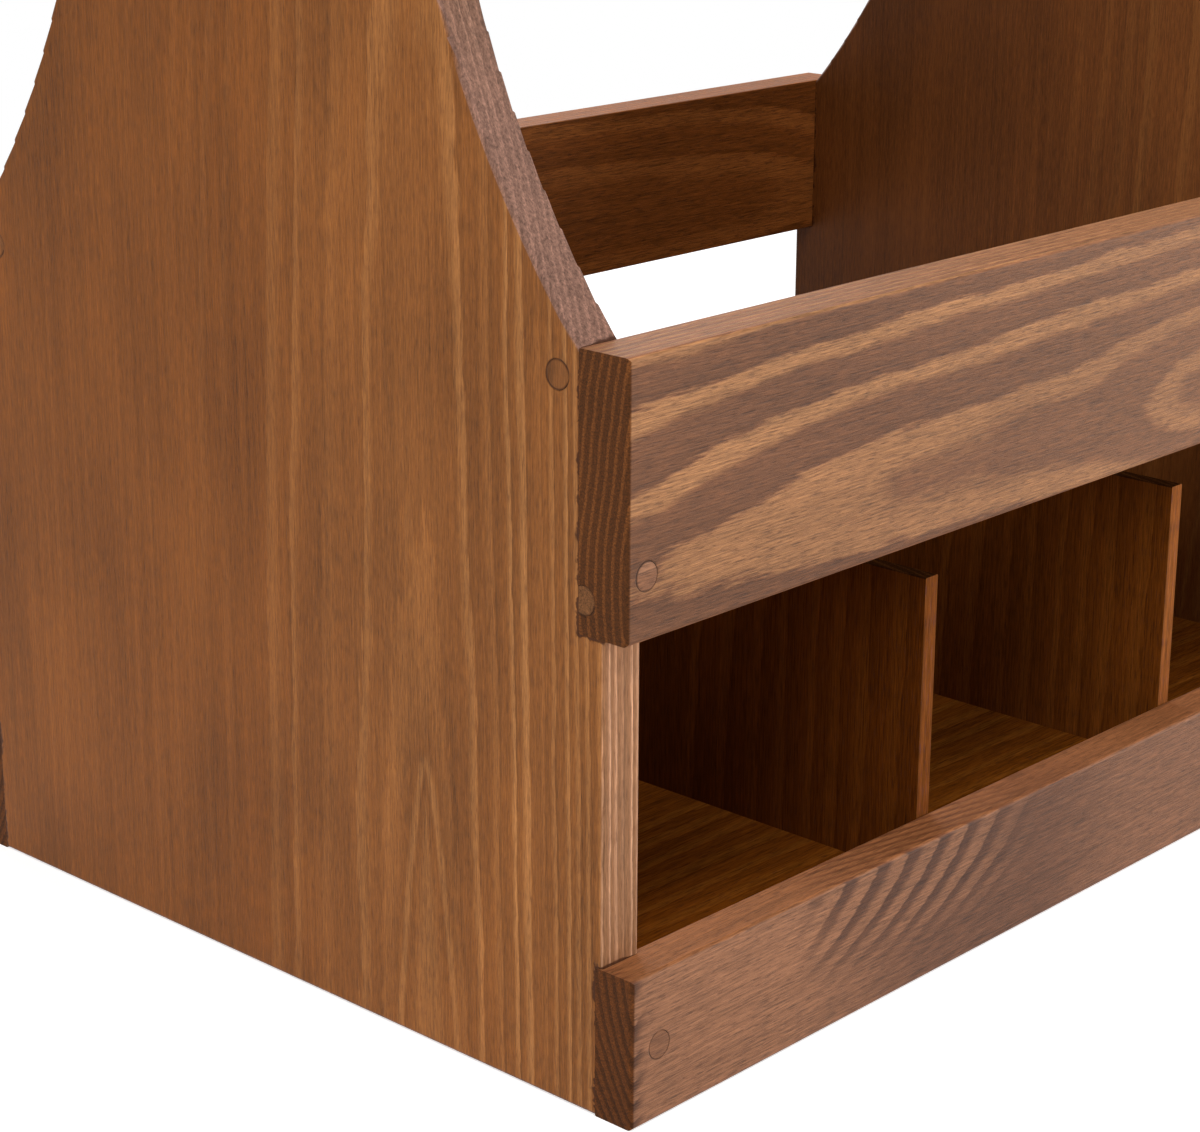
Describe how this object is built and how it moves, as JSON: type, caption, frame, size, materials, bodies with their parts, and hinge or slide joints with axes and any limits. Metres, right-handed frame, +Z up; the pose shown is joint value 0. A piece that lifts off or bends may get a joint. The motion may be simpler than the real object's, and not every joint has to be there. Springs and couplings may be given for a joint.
{
  "type": "bottle caddy",
  "caption": "Wooden bottle caddy with curved end panels, let-in side rails, a divided tray and a round carrying rod.",
  "frame": {"origin": "on the ground under the middle of the caddy", "axes": "+X along the rails from the left end panel to the right one, +Y from front to back, +Z up"},
  "size_m": [0.288, 0.199, 0.3124],
  "materials": {
    "panel_wood": "stained, satin",
    "rail_wood": "stained, satin",
    "tray_wood": "stained, matt",
    "rod_wood": "stained, satin",
    "plug_wood": "stained, satin",
    "screw_steel": "zinc plated"
  },
  "bodies": {
    "root": {"left_end_panel": "panel_wood", "right_end_panel": "panel_wood", "front_upper_rail": "rail_wood", "back_upper_rail": "rail_wood", "front_lower_rail": "rail_wood", "back_lower_rail": "rail_wood", "floor_board": "tray_wood", "left_cross_divider": "tray_wood", "right_cross_divider": "tray_wood", "long_divider": "tray_wood", "handle_rod": "rod_wood", "rail_plugs": "plug_wood", "panel_plugs": "plug_wood", "rail_end_plugs": "plug_wood", "rail_screws": "screw_steel"}
  },
  "joints": []
}
